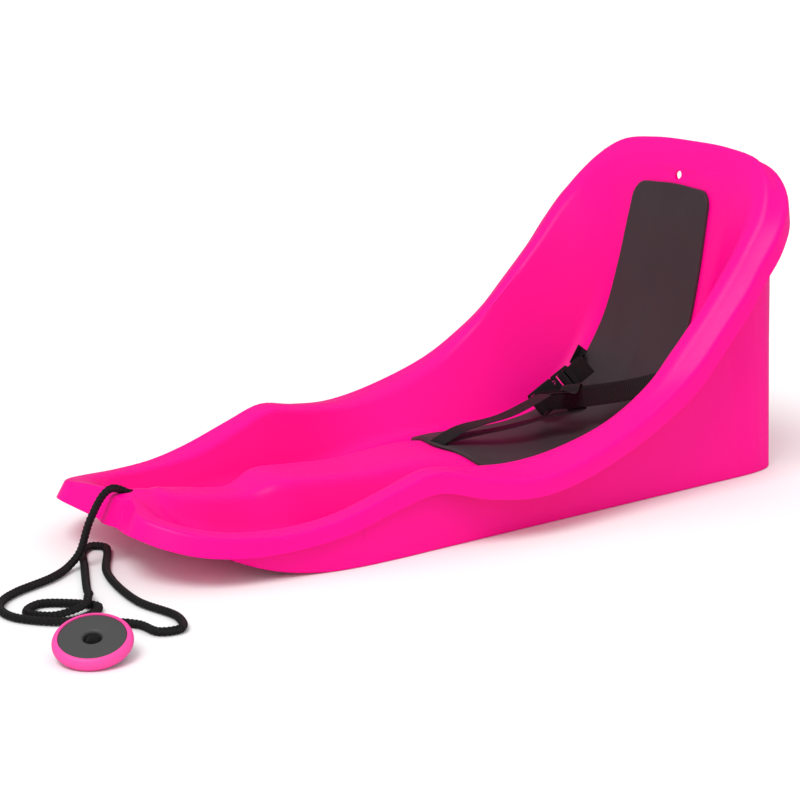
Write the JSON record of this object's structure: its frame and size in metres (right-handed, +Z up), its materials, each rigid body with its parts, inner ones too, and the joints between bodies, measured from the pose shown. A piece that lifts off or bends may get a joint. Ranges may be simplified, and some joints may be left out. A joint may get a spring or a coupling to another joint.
{
  "type": "baby pull sled",
  "caption": "One-piece moulded sled with a high backrest, foot wells, a soft seat pad, a buckled lap harness and a braided pull rope with a round handle.",
  "frame": {"origin": "on the ground under the middle of the sled, without the rope and its handle", "axes": "+Z up, -Y towards the nose where the rope leaves, +X to the left of a child in the seat"},
  "size_m": [0.4698, 1.0045, 0.3663],
  "materials": {
    "shell_plastic": "injection-moulded polyethylene, satin with a fine mould grain",
    "pad_foam": "closed-cell foam mat, matt skin",
    "webbing": "ribbed polypropylene webbing",
    "buckle_plastic": "moulded acetal, satin",
    "rope_braid": "braided polypropylene",
    "handle_rim": "moulded plastic, satin",
    "handle_core": "moulded plastic, fine grain"
  },
  "bodies": {
    "root": {"shell": "shell_plastic", "seat_pad": "pad_foam", "lap_strap_right": "webbing", "lap_strap_left": "webbing", "crotch_strap": "webbing", "buckle_socket": "buckle_plastic", "strap_anchor_right": "buckle_plastic", "strap_anchor_left": "buckle_plastic", "strap_anchor_crotch": "buckle_plastic", "pull_rope": "rope_braid", "rope_stopper_knot": "rope_braid", "handle_ring": "handle_rim", "handle_face": "handle_core", "handle_knot": "rope_braid"},
    "plug": {"buckle_plug": "buckle_plastic"},
    "arm_left": {"plug_arm_left": "buckle_plastic"},
    "arm_right": {"plug_arm_right": "buckle_plastic"}
  },
  "joints": [
    {"name": "buckle_release", "type": "slide", "parent": "root", "child": "plug", "axis": [0.3322, 0.7174, 0.6124], "range_m": [0, 0.03], "deforming": ["plug_arm_left", "plug_arm_right", "lap_strap_right"]},
    {"name": "arm_left_pinch", "type": "hinge", "parent": "plug", "child": "arm_left", "pos_m": [-0.04745, 0.22983, 0.08419], "axis": [0.7776, -0.5757, 0.2527], "range_deg": [0, 11], "stiffness_Nm_per_rad": 0.02},
    {"name": "arm_right_pinch", "type": "hinge", "parent": "plug", "child": "arm_right", "pos_m": [-0.03817, 0.23665, 0.07116], "axis": [-0.7776, 0.5757, -0.2527], "range_deg": [0, 11], "stiffness_Nm_per_rad": 0.02}
  ],
  "couplings": [
    {"joint": "arm_right_pinch", "follows": "arm_left_pinch", "ratio": 1}
  ]
}
